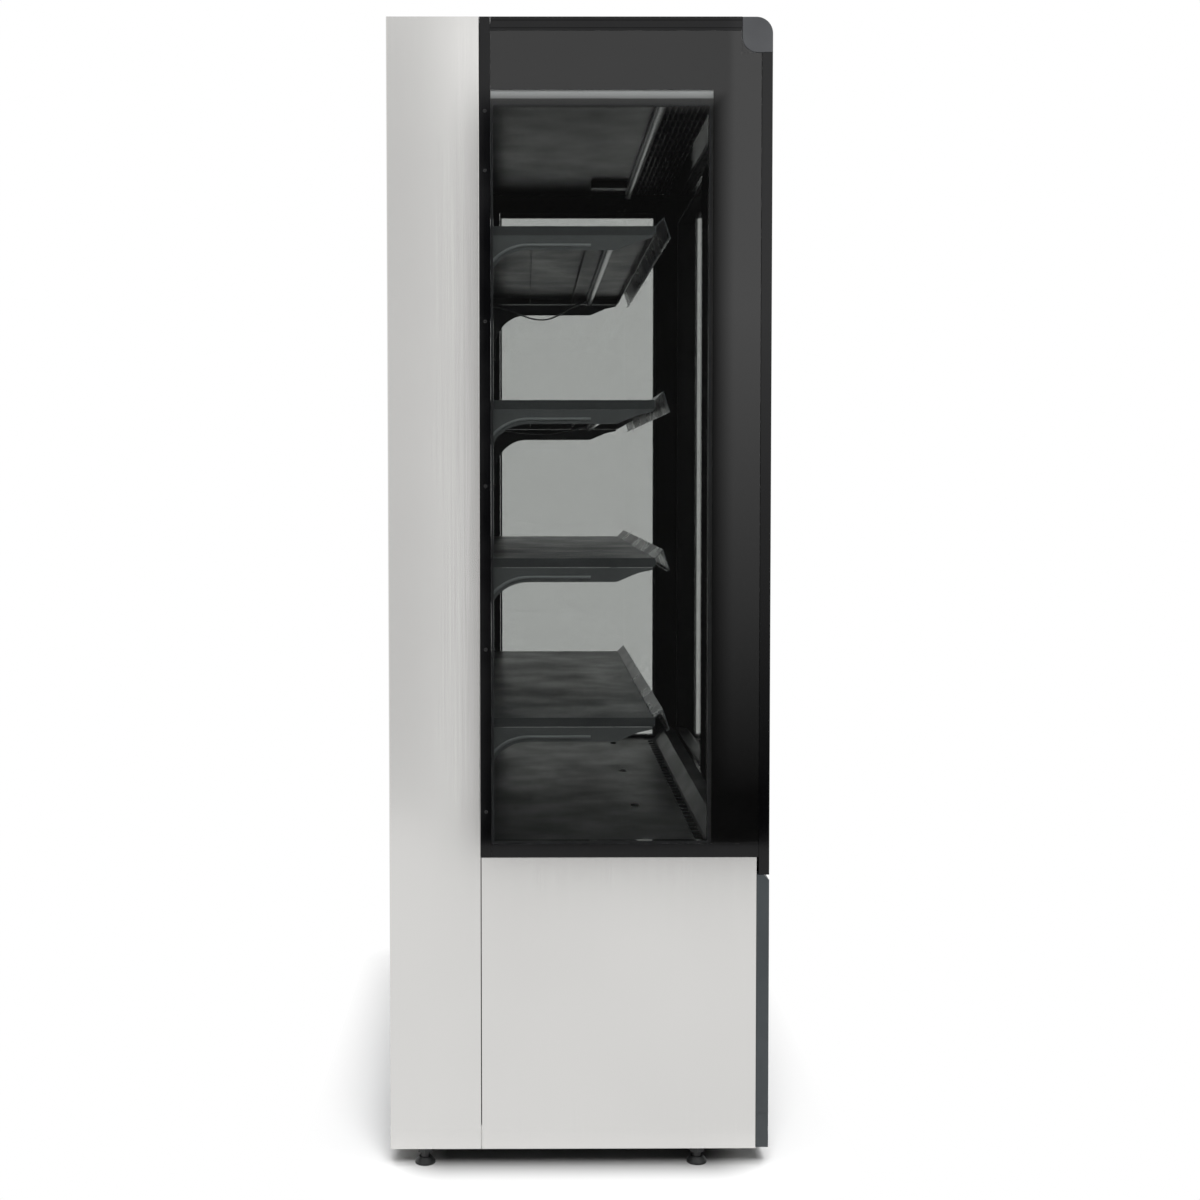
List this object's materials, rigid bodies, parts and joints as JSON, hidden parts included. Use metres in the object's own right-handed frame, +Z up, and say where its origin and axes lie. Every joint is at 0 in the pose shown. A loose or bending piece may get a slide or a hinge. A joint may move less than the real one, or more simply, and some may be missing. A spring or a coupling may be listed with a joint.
{
  "type": "multideck display fridge",
  "caption": "Upright glass-sided multideck display fridge with sliding glass doors, lit shelves on cantilever brackets and a stainless base on levelling feet.",
  "frame": {"origin": "on the floor, under the middle of the cabinet's width and depth", "axes": "+Z up, -Y out of the doors at the front, +X to the right of someone facing the doors"},
  "size_m": [1.2, 0.66, 1.973],
  "materials": {
    "stainless_satin": "vertical brushed grain",
    "white_coated_steel": "satin powder coat",
    "grey_coated_steel": "satin powder coat",
    "dark_coated_steel": "satin powder coat",
    "galvanised_steel": "matt galvanised",
    "black_coated_steel": "satin enamel",
    "black_profile": "gloss black coat",
    "cap_plastic": "fine moulded grain",
    "fan_plastic": "moulded",
    "clear_glass": "polished",
    "ticket_plastic": "extruded",
    "lamp_plastic": "frosted diffuser",
    "roller_nylon": "moulded",
    "foam_liner": "smooth liner",
    "fin_aluminium": "mill finish",
    "copper_pipe": "drawn copper"
  },
  "bodies": {
    "cabinet": {"air_outlet": "cap_plastic", "back_panel": "white_coated_steel", "base_frame": "white_coated_steel", "ceiling_liner": "black_coated_steel", "compressor": "black_coated_steel", "condenser_coil": "fin_aluminium", "condenser_shroud": "galvanised_steel", "control_box": "galvanised_steel", "controller": "cap_plastic", "corner_caps": "cap_plastic", "deck_plates": "dark_coated_steel", "door_head": "black_profile", "door_sill": "black_profile", "drip_tray": "fan_plastic", "duct_wall": "dark_coated_steel", "evaporator_coil": "fin_aluminium", "fan_motors": "fan_plastic", "fan_plate": "dark_coated_steel", "front_header": "black_profile", "front_posts": "black_profile", "insulated_tub": "foam_liner", "kick_plate": "grey_coated_steel", "lamp_leads": "cap_plastic", "lamps": "lamp_plastic", "light_switch": "cap_plastic", "lower_front_panel": "grey_coated_steel", "rear_column_left": "stainless_satin", "rear_column_right": "stainless_satin", "rear_grille": "galvanised_steel", "refrigerant_pipes": "copper_pipe", "return_grille": "dark_coated_steel", "roof_panel": "white_coated_steel", "shelf_1": "dark_coated_steel", "shelf_2": "dark_coated_steel", "shelf_3": "dark_coated_steel", "shelf_4": "dark_coated_steel", "shelf_brackets": "dark_coated_steel", "shelf_uprights": "dark_coated_steel", "side_glass_left": "clear_glass", "side_glass_right": "clear_glass", "side_panel_left": "stainless_satin", "side_panel_right": "stainless_satin", "ticket_rails": "ticket_plastic", "window_frames": "black_profile"},
    "door_left": {"door_left_frame": "black_profile", "door_left_glass": "clear_glass"},
    "door_right": {"door_right_frame": "black_profile", "door_right_glass": "clear_glass"},
    "left_roller_a": {"door_left_roller_a": "roller_nylon"},
    "left_roller_b": {"door_left_roller_b": "roller_nylon"},
    "right_roller_a": {"door_right_roller_a": "roller_nylon"},
    "right_roller_b": {"door_right_roller_b": "roller_nylon"},
    "fan_evaporator_left": {"evaporator_fan_left": "fan_plastic"},
    "fan_evaporator_right": {"evaporator_fan_right": "fan_plastic"},
    "fan_condenser": {"condenser_fan": "fan_plastic"},
    "foot_fl": {"foot_front_left": "black_coated_steel"},
    "foot_fr": {"foot_front_right": "black_coated_steel"},
    "foot_rl": {"foot_rear_left": "black_coated_steel"},
    "foot_rr": {"foot_rear_right": "black_coated_steel"},
    "rocker": {"switch_rocker": "cap_plastic"}
  },
  "joints": [
    {"name": "door_left_slide", "type": "slide", "parent": "cabinet", "child": "door_left", "axis": [1, 0, 0], "range_m": [0, 0.543]},
    {"name": "door_right_slide", "type": "slide", "parent": "cabinet", "child": "door_right", "axis": [-1, 0, 0], "range_m": [0, 0.543]},
    {"name": "left_roller_a_turn", "type": "hinge", "parent": "door_left", "child": "left_roller_a", "pos_m": [-0.484, -0.3125, 0.5698], "axis": [0, 1, 0], "range_deg": [-10, 3290]},
    {"name": "left_roller_b_turn", "type": "hinge", "parent": "door_left", "child": "left_roller_b", "pos_m": [-0.0595, -0.3125, 0.5698], "axis": [0, 1, 0], "range_deg": [-10, 3290]},
    {"name": "right_roller_a_turn", "type": "hinge", "parent": "door_right", "child": "right_roller_a", "pos_m": [0.0595, -0.2865, 0.5698], "axis": [0, -1, 0], "range_deg": [-10, 3290]},
    {"name": "right_roller_b_turn", "type": "hinge", "parent": "door_right", "child": "right_roller_b", "pos_m": [0.484, -0.2865, 0.5698], "axis": [0, -1, 0], "range_deg": [-10, 3290]},
    {"name": "evaporator_fan_left_spin", "type": "hinge", "parent": "cabinet", "child": "fan_evaporator_left", "pos_m": [-0.215, 0.081, 0.476], "axis": [0, 1, 0], "continuous": true},
    {"name": "evaporator_fan_right_spin", "type": "hinge", "parent": "cabinet", "child": "fan_evaporator_right", "pos_m": [0.215, 0.081, 0.476], "axis": [0, 1, 0], "continuous": true},
    {"name": "condenser_fan_spin", "type": "hinge", "parent": "cabinet", "child": "fan_condenser", "pos_m": [0.15, -0.1597, 0.1973], "axis": [0, 1, 0], "continuous": true},
    {"name": "foot_fl_turn", "type": "hinge", "parent": "cabinet", "child": "foot_fl", "pos_m": [-0.58, -0.208, 0.02], "axis": [0, 0, 1], "continuous": true},
    {"name": "foot_fr_turn", "type": "hinge", "parent": "cabinet", "child": "foot_fr", "pos_m": [0.58, -0.208, 0.02], "axis": [0, 0, 1], "continuous": true},
    {"name": "foot_rl_turn", "type": "hinge", "parent": "cabinet", "child": "foot_rl", "pos_m": [-0.58, 0.266, 0.02], "axis": [0, 0, 1], "continuous": true},
    {"name": "foot_rr_turn", "type": "hinge", "parent": "cabinet", "child": "foot_rr", "pos_m": [0.58, 0.266, 0.02], "axis": [0, 0, 1], "continuous": true},
    {"name": "light_switch_rock", "type": "hinge", "parent": "cabinet", "child": "rocker", "pos_m": [0.49, -0.322, 0.44], "axis": [-1, 0, 0], "range_deg": [0, 14]}
  ],
  "couplings": [
    {"joint": "left_roller_a_turn", "follows": "door_left_slide", "rad_per_m": 105.26},
    {"joint": "left_roller_b_turn", "follows": "door_left_slide", "rad_per_m": 105.26},
    {"joint": "right_roller_a_turn", "follows": "door_right_slide", "rad_per_m": 105.26},
    {"joint": "right_roller_b_turn", "follows": "door_right_slide", "rad_per_m": 105.26}
  ]
}
